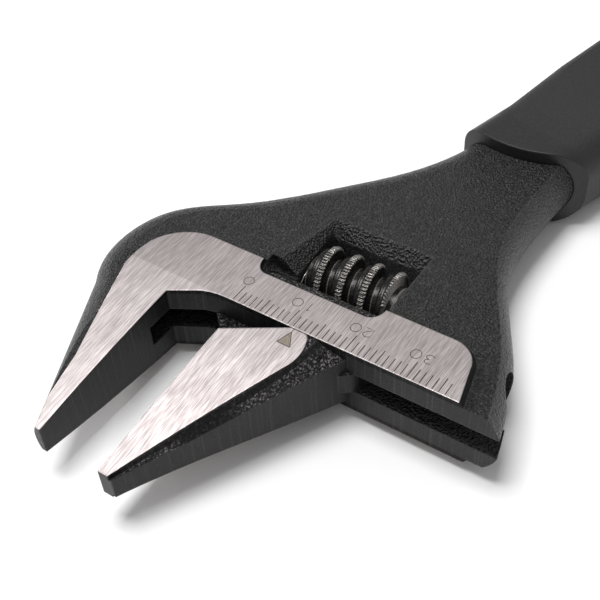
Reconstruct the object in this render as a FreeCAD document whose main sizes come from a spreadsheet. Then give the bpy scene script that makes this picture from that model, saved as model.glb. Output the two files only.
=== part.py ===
import FreeCAD
import Part

import math
import os

from FreeCAD import Placement, Rotation, Vector

# An adjustable wrench with a wide, slim-jawed head. Millimetres.
#
# Head frame used while modelling: X points from the head towards the jaw tips, Y is the way the
# movable jaw opens, Z is the thickness, and z = 0 is the plane midway through the head. x = 0 is
# the side face that the movable jaw slides along, and y = 0 is level with the zero of the scale.
# Each sub-part is then placed so that the origin lies on the fixed jaw's working face.

SIZES = {
    "pad_half": 6.15,
    "forged_half": 5.25,
    "outer_rim_round": 4.9,
    "inner_rim_barrel": 7.2,
    "barrel_blank_half": 7.25,
    "face_y": -10.1,
    "face_mid_x": 16.0,
    "fixed_tip_x": 32.0,
    "slot_height": 3.9,
    "bore_x": -8.6,
    "bore_diameter": 8.0,
    "bore_end_y": -23.8,
    "bar_diameter": 7.8,
    "bar_low_y": -11.3,
    "bar_high_y": 22.0,
    "web_thickness": 3.7,
    "rest_opening": 11.7,
    "jaw_side_gap": 0.08,
    "jaw_tip_x": 32.8,
    "jaw_shoulder_drop": 0.9,
    "land_edge": 0.15,
    "land_flank_angle": 38.0,
    "land_flank_height": 1.2,
    "worm_x": -16.4,
    "worm_radius": 5.8,
    "worm_root_radius": 3.8,
    "worm_pitch": 4.0,
    "worm_low_y": 4.1,
    "worm_high_y": 19.9,
    "worm_bore_diameter": 3.16,
    "worm_phase_y": 7.08,
    "thread_crest": 1.9,
    "thread_base": 3.2,
    "thread_clearance": 0.2,
    "worm_thread_high_y": 18.7,
    "window_low_y": 3.2,
    "window_high_y": 20.4,
    "window_far_x": -23.1,
    "window_near_x": -10.9,
    "relief_x": -16.9,
    "relief_z": 12.5,
    "relief_radius": 11.4,
    "relief_low_y": -1.3,
    "relief_high_y": 21.0,
    "relief_end_round": 2.2,
    "relief_far_x": -12.6,
    "hollow_floor_z": 2.9,
    "hollow_mouth_z": 5.4,
    "pin_diameter": 3.0,
    "pin_head_diameter": 4.6,
    "pin_low_y": -21.4,
    "pin_head_end_y": -13.0,
    "pin_high_y": 23.6,
    "pin_hole_end_y": 24.0,
    "pin_slot_width": 0.8,
    "pin_slot_depth": 1.2,
    "spring_pocket_diameter": 5.6,
    "spring_pocket_depth": 3.2,
    "spring_mean_diameter": 4.3,
    "spring_wire": 0.6,
    "spring_turns": 3,
    "handle_angle": 15.0,
    "handle_start_y": 5.27,
    "bar_end_along": 171.0,
    "bar_end_half_width": 10.5,
    "grip_flat_half": 7.9,
    "hang_hole_along": 163.0,
    "hang_hole_diameter": 9.0,
}

# The jaws thin towards their tips: each ground face drops by this line plus this bow at BOW_X.
TAPER_SLOPE = 0.06
TAPER_BOW = 1.88
BOW_X = 33.0

# Half the thickness of the movable jaw at its outer wall, at stations along the jaw.
JAW_STATIONS = [(0.0, 4.45), (9.0, 3.75), (20.0, 2.56), (33.5, 2.0)]

# Sections of the grip along the handle: distance along, width to the -Y side and to the +Y side
# of the centre line, half thickness.
GRIP_SECTIONS = [
    (50.0, 10.6, 11.1, 7.5),
    (68.0, 10.9, 11.2, 7.5),
    (84.0, 12.2, 12.3, 8.1),
    (105.0, 13.4, 13.5, 8.2),
    (130.0, 13.8, 13.8, 8.5),
    (155.0, 13.5, 13.5, 8.5),
    (168.0, 12.3, 12.3, 8.2),
    (175.0, 9.6, 9.6, 6.2),
]
GRIP_LOW_CORNER = 4.2
GRIP_HIGH_CORNER = 5.5

FAR = 60.0

doc = FreeCAD.newDocument("adjustable_wrench")
sheet = doc.addObject("Spreadsheet::Sheet", "sizes")
for row, (alias, value) in enumerate(SIZES.items(), start=1):
    sheet.set(f"A{row}", alias)
    sheet.set(f"B{row}", str(value))
    sheet.setAlias(f"B{row}", alias)
doc.recompute()


def size(alias):
    return float(sheet.get(alias))


# ---------------------------------------------------------------- small helpers


def bind(obj, **expressions):
    for name, expression in expressions.items():
        obj.setExpression(name.replace("__", "."), expression)
    return obj


def origin_plane(body, role):
    for feature in body.Origin.OriginFeatures:
        if feature.Role == role:
            return feature
    raise ValueError(role)


def sketch_in(body, name, role, curves, offset=0.0):
    sketch = body.newObject("Sketcher::SketchObject", name)
    sketch.AttachmentSupport = [(origin_plane(body, role), "")]
    sketch.MapMode = "FlatFace"
    sketch.AttachmentOffset = Placement(Vector(0, 0, offset), Rotation())
    for curve in curves:
        sketch.addGeometry(curve, False)
    return sketch


def line(a, b):
    return Part.LineSegment(Vector(a[0], a[1], 0), Vector(b[0], b[1], 0))


def arc(a, via, b):
    return Part.Arc(Vector(a[0], a[1], 0), Vector(via[0], via[1], 0), Vector(b[0], b[1], 0))


def smooth(points):
    curve = Part.BSplineCurve()
    curve.interpolate([Vector(p[0], p[1], 0) for p in points])
    return curve


def polygon(points):
    return [line(a, b) for a, b in zip(points, points[1:] + points[:1])]


def plate(name, curves, half_expression):
    """A flat plate with this outline, the same distance above and below z = 0."""
    body = doc.addObject("PartDesign::Body", name)
    sketch = sketch_in(body, name + "_outline", "XY_Plane", curves)
    pad = body.newObject("PartDesign::Pad", name + "_pad")
    pad.Profile = sketch
    pad.Midplane = True
    pad.Length = 1.0
    bind(pad, Length=f"2 * ({half_expression})")
    sketch.Visibility = False
    return body


def cylinder_along_y(name, radius, low, length, x, z="0"):
    """A cylinder parallel to Y; every argument is an expression on the sheet."""
    tool = doc.addObject("Part::Cylinder", name)
    tool.Placement = Placement(Vector(0, 0, 0), Rotation(Vector(1, 0, 0), -90))
    bind(tool, Radius=radius, Height=length)
    bind(tool, Placement__Base__x=x, Placement__Base__y=low, Placement__Base__z=z)
    return tool


def block(name, x0, y0, z0, length, width, height):
    """A box from its lowest corner; every argument is an expression on the sheet."""
    tool = doc.addObject("Part::Box", name)
    bind(tool, Length=length, Width=width, Height=height)
    bind(tool, Placement__Base__x=x0, Placement__Base__y=y0, Placement__Base__z=z0)
    return tool


def fuse(name, *shapes):
    result = doc.addObject("Part::MultiFuse", name)
    result.Shapes = list(shapes)
    return result


def cut(name, base, tool):
    result = doc.addObject("Part::Cut", name)
    result.Base = base
    result.Tool = tool
    return result


def fixed_shape(name, shape):
    feature = doc.addObject("Part::Feature", name)
    feature.Shape = shape
    return feature


def along_handle(distance, across=0.0):
    """A point on the handle: so far along its centre line and so far to the +Y side of it."""
    angle = math.radians(size("handle_angle"))
    x = -distance * math.cos(angle) + across * math.sin(angle)
    y = size("handle_start_y") + distance * math.sin(angle) + across * math.cos(angle)
    return (x, y)


def taper_drop(x):
    return TAPER_SLOPE * x + TAPER_BOW * (x / BOW_X) ** 2


# ---------------------------------------------------------------- forged body


def rim_edges(plate_body, half, outer_side):
    """Numbers of the long rim edges on one side of the handle's centre line, top and bottom."""
    found = []
    slope = math.tan(math.radians(size("handle_angle")))
    for index, edge in enumerate(plate_body.Shape.Edges, start=1):
        box = edge.BoundBox
        level = box.ZMax - box.ZMin < 1e-6 and abs(abs(box.ZMax) - half) < 1e-6
        crosswise = box.XMax - box.XMin < 0.6 * (box.YMax - box.YMin)
        if not level or crosswise:
            continue
        middle = edge.valueAt((edge.FirstParameter + edge.LastParameter) / 2)
        outer = middle.y < size("handle_start_y") - slope * middle.x
        if outer == outer_side:
            found.append(index)
    return found


def rounded_rim(name, plate_body, half, radius, outer_side):
    doc.recompute()
    rounded = doc.addObject("Part::Fillet", name)
    rounded.Base = plate_body
    rounded.Edges = [(i, radius, radius) for i in rim_edges(plate_body, half, outer_side)]
    return rounded


outer_wall = [(42.0, -6.7), (5.0, -24.6)]
outer_curve = [
    outer_wall[1],
    (-4.6, -27.7),
    (-13.6, -25.2),
    (-21.3, -16.8),
    (-34.4, -3.6),
    (-45.3, 5.2),
    (-56.0, 10.2),
]
bar_end_low = along_handle(size("bar_end_along"), -size("bar_end_half_width"))
bar_end_high = along_handle(size("bar_end_along"), size("bar_end_half_width"))
inner_curve = [
    (-57.5, 30.5),
    (-43.8, 29.8),
    (-33.4, 30.8),
    (-20.8, 36.5),
    (-13.2, 40.6),
    (-3.2, 44.1),
    (8.0, 46.3),
]
forged_outline = [
    line(outer_wall[0], outer_wall[1]),
    smooth(outer_curve),
    line(outer_curve[-1], bar_end_low),
    line(bar_end_low, bar_end_high),
    line(bar_end_high, inner_curve[0]),
    smooth(inner_curve),
    line(inner_curve[-1], outer_wall[0]),
]
# The forging's rim is half round on the outer side and a shallower barrel with a crease on the
# other. Two plates of one outline, each rounded on one side, leave exactly that where they meet.
outer_blank = plate("outer_blank", forged_outline, "sizes.forged_half")
barrel_blank = plate("barrel_blank", forged_outline, "sizes.barrel_blank_half")
rounded_blank = doc.addObject("Part::Common", "rounded_blank")
rounded_blank.Base = rounded_rim(
    "outer_round", outer_blank, size("forged_half"), size("outer_rim_round"), True
)
rounded_blank.Tool = rounded_rim(
    "inner_barrel", barrel_blank, size("barrel_blank_half"), size("inner_rim_barrel"), False
)


def ground_land(name, reversed_side, end_shift):
    """The ground land of one face, standing proud of the forged surface on sloping flanks."""
    body = doc.addObject("PartDesign::Body", name)
    curves = [
        line((40.0, -5.2), (2.0, -19.7)),
        arc((2.0, -19.7), (-1.2, -19.95), (-4.3, -19.6)),
        arc((-4.3, -19.6), (-8.2, -16.9), (-10.2, -12.0)),
        line((-10.2, -12.0), (-10.1, 32.2 + end_shift)),
        arc((-10.1, 32.2 + end_shift), (-9.0, 35.3 + end_shift), (-6.2, 36.8 + end_shift)),
        line((-6.2, 36.8 + end_shift), (8.0, 40.2 + end_shift)),
        line((8.0, 40.2 + end_shift), (40.0, -5.2)),
    ]
    level = -size("pad_half") if reversed_side else size("pad_half")
    sketch = sketch_in(body, name + "_outline", "XY_Plane", curves, level)
    pad = body.newObject("PartDesign::Pad", name + "_pad")
    pad.Profile = sketch
    pad.Reversed = not reversed_side
    pad.Length = 1.0
    bind(pad, Length="sizes.land_flank_height", TaperAngle="sizes.land_flank_angle")
    return body


forging = fuse(
    "forging",
    rounded_blank,
    ground_land("scale_land", False, 0.0),
    ground_land("plain_land", True, 1.3),
)

# Throat: the side face the jaw runs along, the fixed jaw's face, and the hexagon-angled corner.
throat = plate(
    "throat",
    [
        line((FAR, -10.1), (3.35, -10.1)),
        line((3.35, -10.1), (0.75, -5.4)),
        arc((0.75, -5.4), (0.2, -3.4), (0.0, -1.2)),
        line((0.0, -1.2), (0.0, FAR)),
        line((0.0, FAR), (FAR, FAR)),
        line((FAR, FAR), (FAR, -10.1)),
    ],
    "2 * sizes.pad_half",
)
tip_trim = block(
    "tip_trim", "sizes.fixed_tip_x", "-40", "-2 * sizes.pad_half", "30", "60", "4 * sizes.pad_half"
)

# Slot for the jaw's web, with the cutter's rounded run-out in the fixed jaw.
slot = plate(
    "web_slot",
    [
        line((-8.6, FAR), (12.0, FAR)),
        line((12.0, FAR), (12.0, -6.0)),
        line((12.0, -6.0), (8.2, -8.0)),
        line((8.2, -8.0), (8.2, -10.1)),
        arc((8.2, -10.1), (3.0, -18.2), (-5.6, -23.6)),
        line((-5.6, -23.6), (-8.6, -23.6)),
        line((-8.6, -23.6), (-8.6, FAR)),
    ],
    "sizes.slot_height / 2",
)
bore = cylinder_along_y(
    "rack_bore", "sizes.bore_diameter / 2", "sizes.bore_end_y", "90 - sizes.bore_end_y", "sizes.bore_x"
)
window = block(
    "worm_window",
    "sizes.window_far_x",
    "sizes.window_low_y",
    "-2 * sizes.pad_half",
    "sizes.window_near_x - sizes.window_far_x",
    "sizes.window_high_y - sizes.window_low_y",
    "4 * sizes.pad_half",
)


def relief(name, side):
    """The smooth cylindrical relief in the ground land, which lets a thumb reach the worm."""
    tool = cylinder_along_y(
        name + "_cylinder",
        "sizes.relief_radius",
        "sizes.relief_low_y",
        "sizes.relief_high_y - sizes.relief_low_y",
        "sizes.relief_x",
        f"{side} * sizes.relief_z",
    )
    doc.recompute()
    rounded = doc.addObject("Part::Fillet", name + "_rounded")
    rounded.Base = tool
    ends = [i for i, e in enumerate(tool.Shape.Edges, start=1) if isinstance(e.Curve, Part.Circle)]
    rounded.Edges = [(i, size("relief_end_round"), size("relief_end_round")) for i in ends]
    near_side = block(name + "_limit", "sizes.relief_far_x", "-20", "-30", "30", "60", "60")
    limited = doc.addObject("Part::Common", name)
    limited.Base = rounded
    limited.Tool = near_side
    return limited


def hollow(name, side):
    """The forged hollow round the window: its walls slope in from the mouth to the window."""
    floor = side * size("hollow_floor_z")
    mouth = side * size("hollow_mouth_z")
    far_x = size("window_far_x")
    near_x = size("relief_far_x")
    low = [(near_x, 2.9), (far_x, 3.9), (far_x, 20.4), (near_x, 20.4)]
    high = [(near_x, 0.2), (far_x - 2.0, 2.7), (far_x - 2.0, 20.9), (near_x, 20.9)]
    rings = []
    for outline, z in ((low, floor), (high, mouth)):
        points = [Vector(x, y, z) for x, y in outline]
        rings.append(Part.makePolygon(points + points[:1]))
    return fixed_shape(name, Part.makeLoft(rings, True, True))


def taper_tool(name, side):
    """What is ground off one face of the jaws, on a gentle curve towards the tips."""
    tip = 40.0
    half = size("pad_half")
    points = [(x, side * (half - taper_drop(x))) for x in (0.0, tip / 2, tip)]
    body = doc.addObject("PartDesign::Body", name)
    curves = [
        arc(*points),
        line(points[2], (tip, side * 3 * half)),
        line((tip, side * 3 * half), (0.0, side * 3 * half)),
        line((0.0, side * 3 * half), points[0]),
    ]
    sketch = sketch_in(body, name + "_profile", "XZ_Plane", curves)
    pad = body.newObject("PartDesign::Pad", name + "_pad")
    pad.Profile = sketch
    pad.Midplane = True
    pad.Length = 2 * FAR
    return body


pin_hole = cylinder_along_y(
    "pin_hole", "sizes.pin_diameter / 2 + 0.05", "-40", "40 + sizes.pin_hole_end_y", "sizes.worm_x"
)
pin_head_hole = cylinder_along_y(
    "pin_head_hole", "sizes.pin_head_diameter / 2", "-40", "40 + sizes.pin_head_end_y", "sizes.worm_x"
)
hang_hole = doc.addObject("Part::Cylinder", "hang_hole")
bind(hang_hole, Radius="sizes.hang_hole_diameter / 2", Height="8 * sizes.pad_half")
hang_hole.Placement = Placement(
    Vector(*along_handle(size("hang_hole_along")), -4 * size("pad_half")), Rotation()
)
taper_tools = [taper_tool("top_taper", 1), taper_tool("bottom_taper", -1)]
body_cuts = fuse(
    "body_cuts",
    throat,
    tip_trim,
    slot,
    bore,
    window,
    relief("top_relief", 1),
    relief("bottom_relief", -1),
    hollow("top_hollow", 1),
    hollow("bottom_hollow", -1),
    pin_hole,
    pin_head_hole,
    hang_hole,
    taper_tools[0],
    taper_tools[1],
)
body_node = cut("body", forging, body_cuts)

# ---------------------------------------------------------------- worm and its thread


def thread_ridge(low_y, high_y, grow):
    """The worm's helical ridge about its axis, thicker all round by grow; right-handed about +Y."""
    pitch = size("worm_pitch")
    root = size("worm_root_radius") - 0.3
    crest = size("worm_radius") + grow
    half_base = size("thread_base") / 2 + grow
    half_crest = size("thread_crest") / 2 + grow
    turns = math.ceil((high_y - low_y) / pitch) + 3
    first = size("worm_phase_y") - pitch * math.ceil((size("worm_phase_y") - low_y) / pitch + 0.5)
    path = Part.makeHelix(pitch, turns * pitch, root)
    corners = [
        Vector(root, 0, -half_base),
        Vector(crest, 0, -half_crest),
        Vector(crest, 0, half_crest),
        Vector(root, 0, half_base),
    ]
    profile = Part.makePolygon(corners + corners[:1])
    ridge = Part.Wire(path.Edges).makePipeShell([profile], True, True)
    # The helix is made about +Z; turning it about X by -90 degrees lays it along +Y with the
    # start of its ridge on the +X side.
    ridge.Placement = Placement(Vector(size("worm_x"), first, 0), Rotation(Vector(1, 0, 0), -90))
    return ridge


ridge_shape = thread_ridge(size("worm_low_y"), size("worm_high_y"), 0.0)
worm_ridge = fixed_shape("worm_ridge", ridge_shape)
worm_envelope = cylinder_along_y(
    "worm_envelope",
    "sizes.worm_radius + 1",
    "sizes.worm_low_y",
    "sizes.worm_thread_high_y - sizes.worm_low_y",
    "sizes.worm_x",
)
worm_thread = doc.addObject("Part::Common", "worm_thread")
worm_thread.Base = worm_ridge
worm_thread.Tool = worm_envelope
worm_core = cylinder_along_y(
    "worm_core",
    "sizes.worm_root_radius",
    "sizes.worm_low_y",
    "sizes.worm_high_y - sizes.worm_low_y",
    "sizes.worm_x",
)
worm_solid = fuse("worm_solid", worm_core, worm_thread)
worm_bore = cylinder_along_y(
    "worm_bore", "sizes.worm_bore_diameter / 2", "sizes.worm_low_y - 5", "30", "sizes.worm_x"
)
spring_pocket = cylinder_along_y(
    "spring_pocket",
    "sizes.spring_pocket_diameter / 2",
    "sizes.worm_low_y - 5",
    "5 + sizes.spring_pocket_depth",
    "sizes.worm_x",
)
worm_node = cut("worm", worm_solid, fuse("worm_cuts", worm_bore, spring_pocket))

# ---------------------------------------------------------------- movable jaw

rest_face_y = size("face_y") + size("rest_opening")
jaw_low_x = size("jaw_side_gap")
jaw_tip_x = size("jaw_tip_x")
corner_x = 5.48
inner_side_y = rest_face_y - 0.5
corner_y = rest_face_y + (corner_x - jaw_low_x) / math.tan(math.radians(30))


def shoulder_y(x):
    """The outer edge of the jaw's ground face."""
    return 14.6 - 0.4218 * (max(x, 3.5) - 5.8)


def wall_y(x):
    """The jaw's outer wall."""
    return 20.35 - 0.503 * x


def jaw_section(x, wall_half):
    """One cross-section of the jaw: land flank, sloping shoulder and upright wall, both ways up."""
    land_half = size("pad_half") - taper_drop(x) - size("land_edge")
    shoulder_half = size("pad_half") - taper_drop(x) - size("jaw_shoulder_drop")
    flank = 0.4 * (wall_y(x) - shoulder_y(x)) if x > 20 else 0.8
    half_outline = [
        (inner_side_y, land_half),
        (shoulder_y(x), land_half),
        (shoulder_y(x) + flank, shoulder_half),
        (wall_y(x), wall_half),
    ]
    outline = half_outline + [(y, -z) for y, z in reversed(half_outline)]
    points = [Vector(x, y, z) for y, z in outline]
    return Part.makePolygon(points + points[:1])


jaw_core = fixed_shape(
    "jaw_core",
    Part.makeLoft([jaw_section(x, half) for x, half in JAW_STATIONS], True, False),
)
jaw_land = plate(
    "jaw_land",
    [
        line((0.0, inner_side_y), (36.0, inner_side_y)),
        line((36.0, inner_side_y), (36.0, 1.9)),
        line((36.0, 1.9), (5.8, 14.6)),
        arc((5.8, 14.6), (3.4, 14.9), (1.1, 14.35)),
        arc((1.1, 14.35), (0.35, 13.9), (0.0, 13.2)),
        line((0.0, 13.2), (0.0, inner_side_y)),
    ],
    "sizes.pad_half",
)
jaw_corner_cut = plate(
    "jaw_corner_cut",
    polygon(
        [
            (FAR, rest_face_y),
            (corner_x, rest_face_y),
            (jaw_low_x, corner_y),
            (jaw_low_x, FAR),
            (-FAR, FAR),
            (-FAR, -FAR),
            (FAR, -FAR),
        ]
    ),
    "2 * sizes.pad_half",
)
jaw_tip_trim = block(
    "jaw_tip_trim", "sizes.jaw_tip_x", "-40", "-2 * sizes.pad_half", "30", "90", "4 * sizes.pad_half"
)
jaw_tapers = [taper_tool("jaw_top_taper", 1), taper_tool("jaw_bottom_taper", -1)]
jaw_block = cut(
    "jaw_block",
    fuse("jaw_forging", jaw_core, jaw_land),
    fuse("jaw_cuts", jaw_corner_cut, jaw_tip_trim, jaw_tapers[0], jaw_tapers[1]),
)
web = plate(
    "jaw_web",
    [
        line((4.8, rest_face_y), (-7.2, -11.3)),
        line((-7.2, -11.3), (-8.6, -11.3)),
        line((-8.6, -11.3), (-8.6, 22.0)),
        line((-8.6, 22.0), (-1.6, 22.0)),
        arc((-1.6, 22.0), (0.3, 21.2), (1.4, 19.6)),
        line((1.4, 19.6), (8.0, 10.0)),
        line((8.0, 10.0), (7.0, rest_face_y)),
        line((7.0, rest_face_y), (4.8, rest_face_y)),
    ],
    "sizes.web_thickness / 2",
)
rack_bar = cylinder_along_y(
    "rack_bar",
    "sizes.bar_diameter / 2",
    "sizes.bar_low_y",
    "sizes.bar_high_y - sizes.bar_low_y",
    "sizes.bore_x",
)
# The rack's teeth are the shape the worm leaves as it screws along the bar.
rack_cut = fixed_shape(
    "rack_cut",
    thread_ridge(size("bar_low_y"), size("bar_high_y"), size("thread_clearance")),
)
jaw_node = cut("movable_jaw", fuse("jaw_solid", jaw_block, web, rack_bar), rack_cut)

# ---------------------------------------------------------------- pin and spring

pin_shaft = cylinder_along_y(
    "pin_shaft",
    "sizes.pin_diameter / 2",
    "sizes.pin_low_y",
    "sizes.pin_high_y - sizes.pin_low_y",
    "sizes.worm_x",
)
pin_head = cylinder_along_y(
    "pin_head",
    "sizes.pin_head_diameter / 2",
    "sizes.pin_low_y",
    "sizes.pin_head_end_y - sizes.pin_low_y",
    "sizes.worm_x",
)
pin_slot = block(
    "pin_slot",
    "sizes.worm_x - 4",
    "sizes.pin_low_y - 1",
    "-sizes.pin_slot_width / 2",
    "8",
    "1 + sizes.pin_slot_depth",
    "sizes.pin_slot_width",
)
pin_node = cut("worm_pin", fuse("pin_solid", pin_shaft, pin_head), pin_slot)

spring_low_y = size("window_low_y") + size("spring_wire") / 2 + 0.05
spring_high_y = size("worm_low_y") + size("spring_pocket_depth") - size("spring_wire") / 2 - 0.05
spring_pitch = (spring_high_y - spring_low_y) / size("spring_turns")
spring_radius = size("spring_mean_diameter") / 2
spring_path = Part.Wire(
    Part.makeHelix(spring_pitch, spring_high_y - spring_low_y, spring_radius).Edges
)
wire_circle = Part.Wire(
    Part.Circle(Vector(spring_radius, 0, 0), Vector(0, 1, 0), size("spring_wire") / 2).toShape()
)
spring_node = fixed_shape("worm_spring", spring_path.makePipeShell([wire_circle], True, True))
spring_shape = spring_node.Shape.copy()
spring_shape.Placement = Placement(
    Vector(size("worm_x"), spring_low_y, 0), Rotation(Vector(1, 0, 0), -90)
)
spring_node.Shape = Part.Solid(spring_shape.Shells[0]) if spring_shape.Shells else spring_shape

# ---------------------------------------------------------------- grip


def grip_section(distance, low_width, high_width, half_thick):
    """A rounded rectangle across the handle, rounder on the +Y side."""
    corners = []
    for edge, radius, sides in (
        (high_width, GRIP_HIGH_CORNER, (1, 1)),
        (-low_width, GRIP_LOW_CORNER, (-1, 1)),
        (-low_width, GRIP_LOW_CORNER, (-1, -1)),
        (high_width, GRIP_HIGH_CORNER, (1, -1)),
    ):
        across, up = sides
        inset = radius * (1 - math.sqrt(0.5))
        upright_end = (edge, up * (half_thick - radius))
        middle = (edge - across * inset, up * (half_thick - inset))
        flat_end = (edge - across * radius, up * half_thick)
        in_order = across * up > 0
        corners.append((upright_end, middle, flat_end) if in_order else (flat_end, middle, upright_end))

    def point(p):
        x, y = along_handle(distance, p[0])
        return Vector(x, y, p[1])

    edges = []
    for index, corner in enumerate(corners):
        edges.append(Part.Arc(*[point(p) for p in corner]).toShape())
        following = corners[(index + 1) % 4][0]
        edges.append(Part.LineSegment(point(corner[2]), point(following)).toShape())
    return Part.Wire(edges)


grip_loft = fixed_shape(
    "grip_loft",
    Part.makeLoft([grip_section(*section) for section in GRIP_SECTIONS], True, True),
)
# Both broad faces of the grip are flat where it is thickest.
grip_flats = block(
    "grip_flats", "-200", "-50", "-sizes.grip_flat_half", "200", "200", "2 * sizes.grip_flat_half"
)
grip_outer = doc.addObject("Part::Common", "grip_outer")
grip_outer.Base = grip_loft
grip_outer.Tool = grip_flats
# The grip's front edge crosses the neck on a gentle curve, nearly square to the scale.
grip_front_trim = plate(
    "grip_front_trim",
    [
        smooth([(-59.4, 6.0), (-56.2, 12.2), (-54.7, 21.0), (-57.2, 29.5), (-61.6, 36.0)]),
        line((-61.6, 36.0), (-30.0, 36.0)),
        line((-30.0, 36.0), (-30.0, 6.0)),
        line((-30.0, 6.0), (-59.4, 6.0)),
    ],
    "2 * sizes.pad_half",
)
grip_node = cut(
    "grip_sleeve", grip_outer, fuse("grip_cuts", grip_front_trim, rounded_blank, hang_hole)
)

# ---------------------------------------------------------------- placing, checking, writing

NODES = [body_node, jaw_node, worm_node, pin_node, spring_node, grip_node]
for node in NODES:
    bind(node, Placement__Base__x="-sizes.face_mid_x", Placement__Base__y="-sizes.face_y")

doc.recompute()

for obj in doc.Objects:
    if {"Invalid", "Error"} & set(obj.State):
        raise RuntimeError(f"{obj.Label}: {obj.State}")
for node in NODES:
    shape = node.Shape
    if shape.isNull() or not shape.isValid():
        raise RuntimeError(f"{node.Label}: its shape is null or not valid")
    box = shape.BoundBox
    print(
        f"{node.Label}: {len(shape.Solids)} solid(s), {shape.Volume:.1f} mm3, "
        f"x {box.XMin:.2f}..{box.XMax:.2f} y {box.YMin:.2f}..{box.YMax:.2f} z {box.ZMin:.2f}..{box.ZMax:.2f}"
    )

os.makedirs("parts", exist_ok=True)
for node in NODES:
    node.Shape.exportStep(f"parts/{node.Label}.step")
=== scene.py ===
import math

import bmesh
import bpy
from mathutils import Matrix, Vector


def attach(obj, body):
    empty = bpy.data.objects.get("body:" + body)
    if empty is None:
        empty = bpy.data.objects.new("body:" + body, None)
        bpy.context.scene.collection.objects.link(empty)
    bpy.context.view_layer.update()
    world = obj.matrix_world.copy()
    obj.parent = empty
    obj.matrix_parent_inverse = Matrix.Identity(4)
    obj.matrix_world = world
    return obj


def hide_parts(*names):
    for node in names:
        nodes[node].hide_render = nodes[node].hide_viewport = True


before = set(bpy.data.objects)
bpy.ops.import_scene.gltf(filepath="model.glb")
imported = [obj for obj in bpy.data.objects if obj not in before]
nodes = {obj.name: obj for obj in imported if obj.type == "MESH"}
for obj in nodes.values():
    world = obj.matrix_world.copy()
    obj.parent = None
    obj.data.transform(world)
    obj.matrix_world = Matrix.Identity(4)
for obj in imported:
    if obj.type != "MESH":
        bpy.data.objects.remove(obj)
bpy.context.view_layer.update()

MM = 0.001

# Shape facts shared with the CAD source, in millimetres. The head's own zero is the corner between
# the scale and its tick 0.
HEAD_ZERO_X = -16.0
HEAD_ZERO_Y = 10.1
PAD_HALF = 6.15
FORGED_HALF = 5.25
TAPER_SLOPE = 0.06
TAPER_BOW = 1.88
TAPER_BOW_X = 33
WORM_X = -32.4
WORM_LOW_Y = 14.2
WORM_THREAD_HIGH_Y = 28.8
WORM_HIGH_Y = 30.0
WORM_PITCH = 4.0
WORM_PHASE_Y = 17.18
WORM_ROOT_RADIUS = 3.8
WORM_CREST_RADIUS = 5.78
WORM_SHOULDER_RADIUS = 5.15
WORM_BORE_RADIUS = 1.6
KNURL_TEETH = 60
HANDLE_ANGLE = math.radians(15)
FLOOR_Z = -8.0


def taper_drop(x):
    """How far the jaws' ground faces lie below the scale's plane, x from the head's zero."""
    x = max(x, 0.0)
    return TAPER_SLOPE * x + TAPER_BOW * (x / TAPER_BOW_X) ** 2


# ---------------------------------------------------------------- shader building


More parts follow.
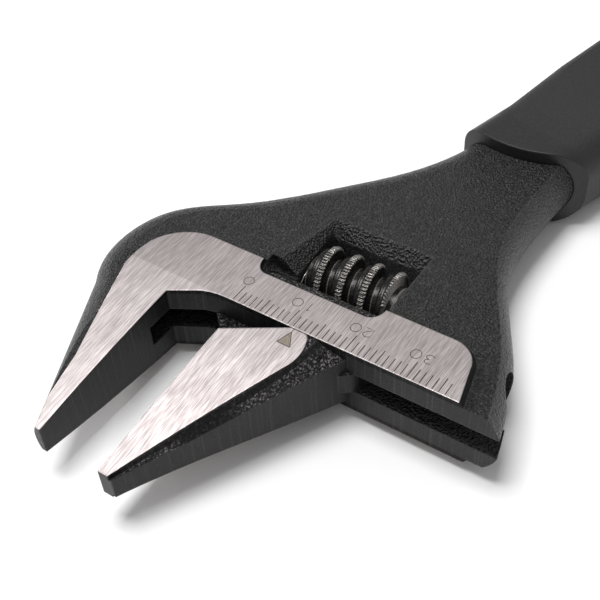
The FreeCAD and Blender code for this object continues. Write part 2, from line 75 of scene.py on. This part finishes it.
class Shader:
    """One node material. Its methods add nodes and return their output sockets."""

    def __init__(self, name):
        self.material = bpy.data.materials.new(name)
        self.material.use_nodes = True
        self.tree = self.material.node_tree
        self.tree.nodes.clear()
        coordinates = self.tree.nodes.new("ShaderNodeTexCoord")
        self.place = self.scaled(coordinates.outputs["Object"], (1000, 1000, 1000))
        self.x, self.y, self.z = self.split(self.place)
        self.nx, self.ny, self.nz = self.split(coordinates.outputs["Normal"])
        self.facing_up = self.math("ABSOLUTE", self.nz)
        self.height = self.math("ABSOLUTE", self.z)

    def feed(self, socket, value):
        if isinstance(value, bpy.types.NodeSocket):
            self.tree.links.new(value, socket)
        else:
            socket.default_value = value

    def split(self, vector):
        node = self.tree.nodes.new("ShaderNodeSeparateXYZ")
        self.feed(node.inputs[0], vector)
        return node.outputs[0], node.outputs[1], node.outputs[2]

    def scaled(self, vector, factors):
        node = self.tree.nodes.new("ShaderNodeVectorMath")
        node.operation = "MULTIPLY"
        self.feed(node.inputs[0], vector)
        node.inputs[1].default_value = factors
        return node.outputs[0]

    def math(self, operation, first, second=0.0, third=0.0):
        node = self.tree.nodes.new("ShaderNodeMath")
        node.operation = operation
        self.feed(node.inputs[0], first)
        self.feed(node.inputs[1], second)
        self.feed(node.inputs[2], third)
        return node.outputs[0]

    def ramp(self, value, low, high, from_value=0.0, to_value=1.0):
        """Goes smoothly from from_value to to_value as value goes from low to high."""
        node = self.tree.nodes.new("ShaderNodeMapRange")
        node.interpolation_type = "SMOOTHSTEP"
        self.feed(node.inputs["Value"], value)
        node.inputs["From Min"].default_value = low
        node.inputs["From Max"].default_value = high
        node.inputs["To Min"].default_value = from_value
        node.inputs["To Max"].default_value = to_value
        return node.outputs[0]

    def both(self, *masks):
        result = masks[0]
        for mask in masks[1:]:
            result = self.math("MULTIPLY", result, mask)
        return result

    def either(self, first, second):
        return self.math("MAXIMUM", first, second)

    def opposite(self, mask):
        return self.math("SUBTRACT", 1.0, mask)

    def mix(self, factor, first, second):
        """Between two numbers or two colours. Two sockets are mixed as colours."""
        colours = not isinstance(first, float) and not isinstance(second, float)
        node = self.tree.nodes.new("ShaderNodeMix")
        if colours:
            node.data_type = "RGBA"
        first_input = 6 if colours else 2
        self.feed(node.inputs["Factor"], factor)
        self.feed(node.inputs[first_input], first)
        self.feed(node.inputs[first_input + 1], second)
        return node.outputs[2 if colours else 0]

    def noise(self, scale, detail=3.0, roughness=0.55, stretch=(1.0, 1.0, 1.0)):
        node = self.tree.nodes.new("ShaderNodeTexNoise")
        self.feed(node.inputs["Vector"], self.scaled(self.place, stretch))
        node.inputs["Scale"].default_value = scale
        node.inputs["Detail"].default_value = detail
        node.inputs["Roughness"].default_value = roughness
        return node.outputs["Fac"]

    def cells(self, scale):
        node = self.tree.nodes.new("ShaderNodeTexVoronoi")
        self.feed(node.inputs["Vector"], self.place)
        node.inputs["Scale"].default_value = scale
        return node.outputs["Distance"]

    def soft_edges(self, radius):
        """The normal with edges rounded by radius, which is in millimetres."""
        node = self.tree.nodes.new("ShaderNodeBevel")
        node.samples = 6
        if isinstance(radius, float):
            node.inputs["Radius"].default_value = radius * MM
        else:
            self.feed(node.inputs["Radius"], self.math("MULTIPLY", radius, MM))
        return node.outputs["Normal"]

    def bump(self, height, depth, normal=None):
        """depth is in millimetres, for a height that goes from 0 to 1."""
        node = self.tree.nodes.new("ShaderNodeBump")
        self.feed(node.inputs["Height"], height)
        node.inputs["Distance"].default_value = depth * MM
        node.inputs["Strength"].default_value = 1.0
        if normal is not None:
            self.feed(node.inputs["Normal"], normal)
        return node.outputs["Normal"]

    def edge_wear_and_highlight(self, soft_normal):
        """1 on an edge, 0 on a flat: how far the softened normal leans from the true one. It marks
        worn edges, which also carry a painted edge highlight.
        """
        geometry = self.tree.nodes.new("ShaderNodeNewGeometry")
        node = self.tree.nodes.new("ShaderNodeVectorMath")
        node.operation = "DOT_PRODUCT"
        self.feed(node.inputs[0], soft_normal)
        self.feed(node.inputs[1], geometry.outputs["True Normal"])
        return self.ramp(node.outputs["Value"], 0.995, 0.93)

    def surface(self, colour, metallic, roughness, normal=None, specular=0.5):
        bsdf = self.tree.nodes.new("ShaderNodeBsdfPrincipled")
        output = self.tree.nodes.new("ShaderNodeOutputMaterial")
        self.feed(bsdf.inputs["Base Color"], colour)
        self.feed(bsdf.inputs["Metallic"], metallic)
        self.feed(bsdf.inputs["Roughness"], roughness)
        self.feed(bsdf.inputs["Specular IOR Level"], specular)
        if normal is not None:
            self.feed(bsdf.inputs["Normal"], normal)
        self.tree.links.new(bsdf.outputs[0], output.inputs["Surface"])
        return self.material


BLACK = (0.0080, 0.0078, 0.0080, 1.0)
BLACK_WORN = (0.018, 0.0175, 0.018, 1.0)
STEEL_DARK = (0.30, 0.262, 0.262, 1.0)
STEEL_LIGHT = (0.74, 0.69, 0.68, 1.0)
STEEL_PIT = (0.10, 0.085, 0.08, 1.0)
MILL_MARK = (0.06, 0.058, 0.055, 1.0)
# Worn edges, lightened further as a painted edge highlight.
WORN_EDGE_AND_HIGHLIGHT = (0.07, 0.07, 0.072, 1.0)
# Painted glints: light specks standing in for light sparkling off the black forged grain, much
# lighter on the jaw.
BODY_GLINT = (0.05, 0.048, 0.048, 1.0)
JAW_GLINT = (0.34, 0.32, 0.32, 1.0)
WORM_BLACK = (0.012, 0.011, 0.011, 1.0)
WORM_BROWN = (0.035, 0.033, 0.031, 1.0)
# Bare worn steel on the worm's edges, which also serves as a painted highlight on its knurl and
# ridges.
WORM_BARE_AND_HIGHLIGHT = (0.36, 0.34, 0.32, 1.0)
OXIDE_DARK = (0.06, 0.058, 0.056, 1.0)
OXIDE_LIGHT = (0.16, 0.155, 0.15, 1.0)
RUBBER_DARK = (0.010, 0.010, 0.0105, 1.0)
RUBBER_LIGHT = (0.017, 0.017, 0.018, 1.0)


def ground_level(shader):
    """1 on the flat ground faces, worked out from where the grinding planes lie."""
    head_x = shader.math("SUBTRACT", shader.x, HEAD_ZERO_X)
    ahead = shader.math("MAXIMUM", head_x, 0.0)
    squared = shader.math("MULTIPLY", ahead, ahead)
    straight = shader.math("MULTIPLY", ahead, TAPER_SLOPE)
    drop = shader.math("MULTIPLY_ADD", squared, TAPER_BOW / TAPER_BOW_X**2, straight)
    level = shader.math("SUBTRACT", PAD_HALF, drop)
    off = shader.math("ABSOLUTE", shader.math("SUBTRACT", shader.height, level))
    return shader.both(
        shader.ramp(off, 0.05, 0.09, 1.0, 0.0), shader.ramp(shader.facing_up, 0.93, 0.96)
    )


def brushed(shader):
    """Colour, roughness and height of ground steel, with its lines along X."""
    fine = shader.noise(8.0, 2.0, 0.6, (0.045, 1.0, 0.03))
    broad = shader.noise(2.4, 2.0, 0.5, (0.03, 1.0, 0.03))
    cloud = shader.noise(0.16, 2.0, 0.5)
    lines = shader.mix(0.2, fine, broad)
    lines = shader.math("MULTIPLY_ADD", cloud, 0.2, lines)
    tone = shader.ramp(lines, 0.42, 0.92)
    colour = shader.mix(tone, STEEL_DARK, STEEL_LIGHT)
    pits = shader.ramp(shader.noise(1.6, 4.0, 0.6), 0.735, 0.76)
    colour = shader.mix(pits, colour, STEEL_PIT)
    roughness = shader.ramp(lines, 0.4, 0.9, 0.50, 0.38)
    return colour, roughness, fine


def body_ground(shader, ground):
    """The body's ground faces end at a line along its outer edge; this cuts off the rest."""
    head_x = shader.math("SUBTRACT", shader.x, HEAD_ZERO_X)
    edge_inner = shader.math("MULTIPLY_ADD", head_x, 0.313, HEAD_ZERO_Y - 20.42)
    edge_outer = shader.math("MULTIPLY_ADD", head_x, 0.178, HEAD_ZERO_Y - 17.75)
    edge = shader.math("MINIMUM", edge_inner, edge_outer)
    inside = shader.ramp(shader.math("SUBTRACT", shader.y, edge), -0.04, 0.04)
    before = shader.ramp(head_x, 2.3, 2.5, 1.0, 0.0)
    return shader.both(ground, shader.either(inside, before))


def body_machined(shader):
    """1 on the upright faces that the throat's cutter left."""
    past_face = shader.ramp(shader.x, HEAD_ZERO_X - 0.2, HEAD_ZERO_X - 0.1)
    in_throat = shader.ramp(shader.y, -0.2, -0.1)
    upright = shader.ramp(shader.facing_up, 0.3, 0.4, 1.0, 0.0)
    return shader.both(past_face, in_throat, upright)


def body_flank(shader, ground):
    """1 on the sloping flank of the ground land, above the forged surface."""
    above = shader.ramp(shader.height, FORGED_HALF + 0.02, FORGED_HALF + 0.1)
    return shader.both(above, shader.opposite(ground))


def near(shader, coordinate, middle, half):
    """1 within half of the middle along one coordinate, fading out over 1 mm."""
    away = shader.math("ABSOLUTE", shader.math("SUBTRACT", coordinate, middle))
    return shader.ramp(away, half, half + 1.0, 1.0, 0.0)


def forged_black(shader, grain, mill, smooth, machined, wear_and_highlight, glint_colour):
    """Black forged skin with painted glints as lighter specks, faint cutter lines, and worn edges
    that also carry a painted edge highlight.
    """
    # Painted glints: lighter specks stand in for light sparkling off the grain, and are kept off the
    # smooth faces.
    painted_glint = shader.ramp(shader.noise(2.4, 3.0, 0.75), 0.50, 0.64)
    painted_glint = shader.both(painted_glint, shader.opposite(smooth), 0.9)
    mill_marks = shader.both(shader.ramp(mill, 0.5, 0.75), machined, 0.5)
    black = shader.mix(shader.ramp(grain, 0.35, 0.75), BLACK, BLACK_WORN)
    black = shader.mix(painted_glint, black, glint_colour)
    black = shader.mix(mill_marks, black, MILL_MARK)
    # Edges get lighter, partly as wear and partly as a painted edge highlight.
    return shader.mix(shader.both(wear_and_highlight, 0.6), black, WORN_EDGE_AND_HIGHLIGHT)


def forging(name, body):
    """Black forged steel with its ground and machined faces: the body's, or else the jaw's."""
    shader = Shader(name)
    ground = ground_level(shader)
    if body:
        ground = body_ground(shader, ground)
        machined = body_machined(shader)
        shade = body_flank(shader, ground)
        smooth = shader.either(machined, shade)
        coarse = shader.ramp(shader.facing_up, 0.2, 0.9, 0.6, 1.0)
        glint_colour = BODY_GLINT
    else:
        smooth = shader.ramp(shader.facing_up, 0.70, 0.80, 1.0, 0.0)
        machined = smooth
        shade = shader.both(smooth, shader.ramp(shader.facing_up, 0.3, 0.4))
        coarse = 2.6
        glint_colour = JAW_GLINT
    not_ground = shader.opposite(ground)
    grain = shader.noise(2.1, 4.0, 0.62)
    relief = shader.mix(0.5, grain, shader.cells(2.6))
    relief = shader.both(relief, shader.opposite(smooth), not_ground, coarse)
    mill = shader.noise(2.4, 2.0, 0.5, (1.0, 1.0, 0.02))
    fine_grain = shader.noise(4.5, 3.0, 0.6)
    colour, roughness, lines = brushed(shader)

    # Edges round wider near the window, which also widens the wear and the painted edge highlight
    # along its rim.
    near_window = shader.both(near(shader, shader.x, -34.5, 7.5), near(shader, shader.y, 21.5, 11.5))
    soft = shader.soft_edges(shader.mix(near_window, 0.3, 0.8))
    normal = shader.bump(relief, 1.1, soft)
    normal = shader.bump(shader.both(fine_grain, not_ground), 0.08, normal)
    normal = shader.bump(shader.both(mill, machined), 0.035, normal)
    normal = shader.bump(shader.both(lines, ground), 0.012, normal)

    wear_and_highlight = shader.edge_wear_and_highlight(soft)
    black = forged_black(shader, grain, mill, smooth, machined, wear_and_highlight, glint_colour)
    black_roughness = shader.mix(smooth, shader.ramp(grain, 0.3, 0.7, 0.26, 0.40), 0.38)
    return shader.surface(
        shader.mix(ground, black, colour),
        ground,
        shader.mix(ground, black_roughness, roughness),
        normal,
        specular=shader.mix(shade, shader.mix(smooth, 0.5, 0.25), 0.08),
    )


def worm_steel(name):
    shader = Shader(name)
    grain = shader.noise(3.0, 4.0, 0.6)
    soft = shader.soft_edges(0.06)
    wear_and_highlight = shader.edge_wear_and_highlight(soft)
    normal = shader.bump(grain, 0.02, soft)
    colour = shader.mix(shader.ramp(grain, 0.4, 0.7), WORM_BLACK, WORM_BROWN)
    # Edges turn to light bare steel, partly wear and partly a painted highlight.
    colour = shader.mix(shader.both(wear_and_highlight, 0.7), colour, WORM_BARE_AND_HIGHLIGHT)
    return shader.surface(colour, 0.6, shader.ramp(grain, 0.3, 0.7, 0.2, 0.34), normal)


def dark_steel(name):
    shader = Shader(name)
    rings = shader.noise(4.0, 3.0, 0.6, (1.0, 0.2, 1.0))
    normal = shader.bump(rings, 0.01, shader.soft_edges(0.12))
    colour = shader.mix(shader.ramp(rings, 0.4, 0.65), OXIDE_DARK, OXIDE_LIGHT)
    return shader.surface(colour, 0.9, shader.ramp(rings, 0.3, 0.7, 0.25, 0.42), normal)


def rubber(name):
    """The handle's sleeve: a smooth satin collar, then a matt grain."""
    shader = Shader(name)
    along = shader.math(
        "ADD",
        shader.math("MULTIPLY", shader.x, -math.cos(HANDLE_ANGLE)),
        shader.math("MULTIPLY", shader.y, math.sin(HANDLE_ANGLE)),
    )
    grip_part = shader.ramp(along, 82.0, 84.0)
    grain = shader.noise(2.6, 3.0, 0.6)
    soft = shader.soft_edges(0.5)
    depth = shader.mix(grip_part, 0.3, 1.0)
    normal = shader.bump(shader.math("MULTIPLY", grain, depth), 0.07, soft)
    colour = shader.mix(shader.ramp(grain, 0.35, 0.7), RUBBER_DARK, RUBBER_LIGHT)
    return shader.surface(colour, 0.0, shader.mix(grip_part, 0.42, 0.56), normal, specular=0.45)


def engraved(name, colour, deep):
    shader = Shader(name)
    grain = shader.noise(5.0, 2.0, 0.6)
    tone = shader.mix(shader.ramp(grain, 0.35, 0.7), deep, colour)
    return shader.surface(tone, 0.2, shader.ramp(grain, 0.3, 0.7, 0.5, 0.7), shader.bump(grain, 0.02))


# ---------------------------------------------------------------- mesh building


def mesh_object(name, vertices, faces, smooth=False):
    mesh = bpy.data.meshes.new(name)
    mesh.from_pydata([Vector(v) * MM for v in vertices], [], faces)
    mesh.update()
    if smooth:
        mesh.shade_smooth()
    piece = bpy.data.objects.new(name, mesh)
    bpy.context.scene.collection.objects.link(piece)
    return piece


def worm_radius(offset, angle):
    """The worm's radius at an axial offset from its ridge's middle: a smooth rounded shoulder on
    the -Y side and a taller knurled crest beside it."""
    root = WORM_ROOT_RADIUS
    crest = WORM_CREST_RADIUS
    if -1.55 < offset <= 0.02:
        share = offset + 0.55
        return root + (WORM_SHOULDER_RADIUS - root) * math.sqrt(max(0.0, 1 - share * share))
    if 0.02 < offset <= 0.95:
        tooth = 0.5 + 0.5 * math.cos(KNURL_TEETH * angle)
        side = min(offset - 0.02, 0.95 - offset) / 0.16
        return crest - 0.42 * tooth**0.7 - 0.16 * max(0.0, 1 - side) ** 2
    if 0.95 < offset < 1.6:
        return crest - 0.2 - (crest - 0.2 - root) * (offset - 0.95) / 0.65
    return root


def turned_radius(y, angle):
    """The worm's outside radius at one height and angle: the thread, then a plain end."""
    if y > WORM_THREAD_HIGH_Y:
        return WORM_ROOT_RADIUS if y < WORM_HIGH_Y - 0.2 else WORM_ROOT_RADIUS - 0.15
    middle = WORM_PHASE_Y - WORM_PITCH * angle / (2 * math.pi)
    offset = (y - middle + WORM_PITCH / 2) % WORM_PITCH - WORM_PITCH / 2
    return worm_radius(offset, angle)


def worm_mesh(name):
    """Rings of points about the worm's axis, closed through its bore."""
    around = 320
    ring_spacing = 0.09
    recess_y = WORM_HIGH_Y - 0.35
    rows = int((WORM_HIGH_Y - WORM_LOW_Y) / ring_spacing)
    rings = [(WORM_LOW_Y, WORM_BORE_RADIUS), (WORM_LOW_Y, 2.8)]
    for row in range(rows + 1):
        rings.append((WORM_LOW_Y + (WORM_HIGH_Y - WORM_LOW_Y) * row / rows, None))
    rings += [(WORM_HIGH_Y, 3.1), (recess_y, 2.9), (recess_y, WORM_BORE_RADIUS)]
    vertices = []
    for y, fixed_radius in rings:
        for index in range(around):
            angle = 2 * math.pi * index / around
            radius = turned_radius(y, angle) if fixed_radius is None else fixed_radius
            vertices.append((WORM_X + radius * math.cos(angle), y, radius * math.sin(angle)))
    faces = []
    for row in range(len(rings)):
        low = row * around
        high = (row + 1) % len(rings) * around
        for index in range(around):
            following = (index + 1) % around
            faces.append((low + index, high + index, high + following, low + following))
    return mesh_object(name, vertices, faces, smooth=True)


def strip(points, width):
    """Vertices and faces of a flat line of that width through points (x, y, z)."""
    vertices = []
    for index, point in enumerate(points):
        before = Vector(points[max(index - 1, 0)])
        after = Vector(points[min(index + 1, len(points) - 1)])
        along = (after - before).normalized()
        aside = Vector((-along.y, along.x, 0)) * (width / 2)
        vertices.append(Vector(point) + aside)
        vertices.append(Vector(point) - aside)
    faces = [(2 * i, 2 * i + 1, 2 * i + 3, 2 * i + 2) for i in range(len(points) - 1)]
    return vertices, faces


def marks_object(name, strips):
    """One object of several strips, all facing up."""
    vertices = []
    faces = []
    for part_vertices, part_faces in strips:
        offset = len(vertices)
        vertices += part_vertices
        faces += [tuple(i + offset for i in face) for face in part_faces]
    piece = mesh_object(name, vertices, faces)
    bm = bmesh.new()
    bm.from_mesh(piece.data)
    bmesh.ops.recalc_face_normals(bm, faces=bm.faces)
    for face in bm.faces:
        if face.normal.z < 0:
            face.normal_flip()
    bm.to_mesh(piece.data)
    bm.free()
    return piece


def arc_points(centre_u, centre_v, radius_u, radius_v, start, end, count=20):
    points = []
    for index in range(count + 1):
        angle = math.radians(start + (end - start) * index / count)
        points.append((centre_u + radius_u * math.cos(angle), centre_v + radius_v * math.sin(angle)))
    return points


def digit_strokes(digit):
    """The strokes of a digit about its middle, u to the reader's right and v up."""
    if digit == "0":
        return [arc_points(0, 0, 0.80, 0.85, 0, 360, 32)]
    if digit == "1":
        return [[(0.0, -0.85), (0.0, 0.85), (-0.35, 0.5)]]
    if digit == "2":
        bowl = arc_points(0, 0.35, 0.62, 0.5, 165, -30, 14)
        return [bowl + [(-0.65, -0.85), (0.7, -0.85)]]
    upper = arc_points(-0.05, 0.42, 0.55, 0.43, 150, -90, 14)
    lower = arc_points(-0.05, -0.43, 0.65, 0.45, 90, -150, 14)
    return [upper + lower]


def scale_marks():
    """The millimetre ticks from 0 to 36 and their numerals, read from the handle's side."""
    surface_z = PAD_HALF + 0.012
    tick_width = 0.15
    stroke_width = 0.11
    digit_spacing = 2.09
    strips = []
    for tick in range(37):
        length = 2.2
        if tick % 5 == 0:
            length = 2.75
        if tick % 10 == 0:
            length = 3.2
        near_x = HEAD_ZERO_X - 0.3
        y = HEAD_ZERO_Y + tick
        ends = [(near_x, y, surface_z), (near_x - length, y, surface_z)]
        strips.append(strip(ends, tick_width))
    digit_x = HEAD_ZERO_X - 4.78
    for text, first_y in (("0", -0.26), ("10", 10.91), ("20", 21.1), ("30", 31.1)):
        for index, digit in enumerate(text):
            centre_y = HEAD_ZERO_Y + first_y - digit_spacing * index
            for stroke in digit_strokes(digit):
                points = [(digit_x + v, centre_y - u, surface_z) for u, v in stroke]
                strips.append(strip(points, stroke_width))
    return marks_object("scale_marks", strips)


def pointer_pieces():
    """The jaw's triangular pointer, filled and outlined, with the short line at its tip."""
    corners = [(0.77, 11.48), (3.31, 10.61), (3.33, 12.91)]
    tip_line = [(0.12, 11.5), corners[0]]

    def on_jaw(point, lift):
        x, y = point
        return (HEAD_ZERO_X + x, HEAD_ZERO_Y + y, PAD_HALF - taper_drop(x) + lift)

    fill_vertices = [on_jaw(p, 0.010) for p in corners]
    fill = mesh_object("pointer_fill", fill_vertices, [(0, 1, 2)])
    outline = []
    for index in range(3):
        ends = [corners[index], corners[(index + 1) % 3]]
        outline.append(strip([on_jaw(p, 0.016) for p in ends], 0.12))
    outline.append(strip([on_jaw(p, 0.016) for p in tip_line], 0.1))
    return fill, marks_object("pointer_outline", outline)


# ---------------------------------------------------------------- pieces


def dress(target, material):
    """Gives an object one material, in place of those it had."""
    target.data.materials.clear()
    target.data.materials.append(material)


body_finish = forging("body_finish", True)
jaw_finish = forging("jaw_finish", False)
for node_name, material, slot_name in (
    ("body", body_finish, "black_forging"),
    ("movable_jaw", jaw_finish, "jaw_forging"),
    ("worm_pin", dark_steel("pin_finish"), "pin_steel"),
    ("worm_spring", dark_steel("spring_finish"), "spring_steel"),
    ("grip_sleeve", rubber("grip_finish"), "grip_rubber"),
):
    dress(nodes[node_name], material)

worm = worm_mesh("worm_knurled")
dress(worm, worm_steel("worm_finish"))
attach(worm, "thumb_worm")
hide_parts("worm")

mark_finish = engraved("mark_finish", (0.05, 0.042, 0.038, 1.0), (0.015, 0.013, 0.012, 1.0))
fill_finish = engraved("fill_finish", (0.30, 0.25, 0.20, 1.0), (0.16, 0.13, 0.10, 1.0))
marks = scale_marks()
dress(marks, mark_finish)
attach(marks, "handle")
pointer_fill, pointer_outline = pointer_pieces()
dress(pointer_fill, fill_finish)
dress(pointer_outline, mark_finish)
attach(pointer_fill, "jaw")
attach(pointer_outline, "jaw")

# ---------------------------------------------------------------- floor, light and camera


def floor():
    half = 3000.0
    corners = [(-half, -half), (half, -half), (half, half), (-half, half)]
    piece = mesh_object("floor", [(x, y, FLOOR_Z) for x, y in corners], [(0, 1, 2, 3)])
    shader = Shader("floor_finish")
    cloud = shader.noise(0.01, 2.0, 0.5)
    colour = shader.mix(cloud, (0.93, 0.93, 0.93, 1.0), (0.95, 0.95, 0.95, 1.0))
    piece.data.materials.append(shader.surface(colour, 0.0, 0.9, specular=0.1))


def area_light(name, place, target, size, power):
    light = bpy.data.lights.new(name, "AREA")
    light.shape = "RECTANGLE"
    light.size, light.size_y = size
    light.energy = power
    lamp = bpy.data.objects.new(name, light)
    bpy.context.scene.collection.objects.link(lamp)
    lamp.location = place
    direction = Vector(target) - Vector(place)
    lamp.rotation_euler = direction.to_track_quat("-Z", "Y").to_euler()


def studio():
    world = bpy.data.worlds.new("studio")
    world.use_nodes = True
    background = world.node_tree.nodes["Background"]
    background.inputs["Color"].default_value = (1.0, 1.0, 1.0, 1.0)
    background.inputs["Strength"].default_value = 0.42
    bpy.context.scene.world = world
    middle = (-0.03, 0.02, 0.0)
    area_light("overhead", (0.0, -0.12, 0.80), middle, (0.36, 0.36), 5.6)
    area_light("side", (-0.12, -0.70, 0.32), middle, (0.20, 0.12), 1.6)
    bpy.context.scene.view_settings.view_transform = "Standard"


def camera():
    """The view calibrated on the scale's ticks, as the camera's axes and place in the frame."""
    right = Vector((-0.55954394, 0.82722416, -0.05109559))
    down = Vector((0.59902747, 0.36104305, -0.71471253))
    forward = Vector((-0.57277977, -0.43052073, -0.69754945))
    place = Vector((0.06443407, 0.08370413, 0.11070992))
    data = bpy.data.cameras.new("view")
    data.lens = 59.95
    data.sensor_width = 36.0
    data.clip_start = 0.005
    data.clip_end = 20.0
    data.shift_x = -0.00284
    data.shift_y = 0.00032
    view = bpy.data.objects.new("view", data)
    bpy.context.scene.collection.objects.link(view)
    turn = Matrix((right, -down, -forward)).transposed().to_4x4()
    view.matrix_world = Matrix.Translation(place) @ turn
    bpy.context.scene.camera = view


floor()
studio()
camera()
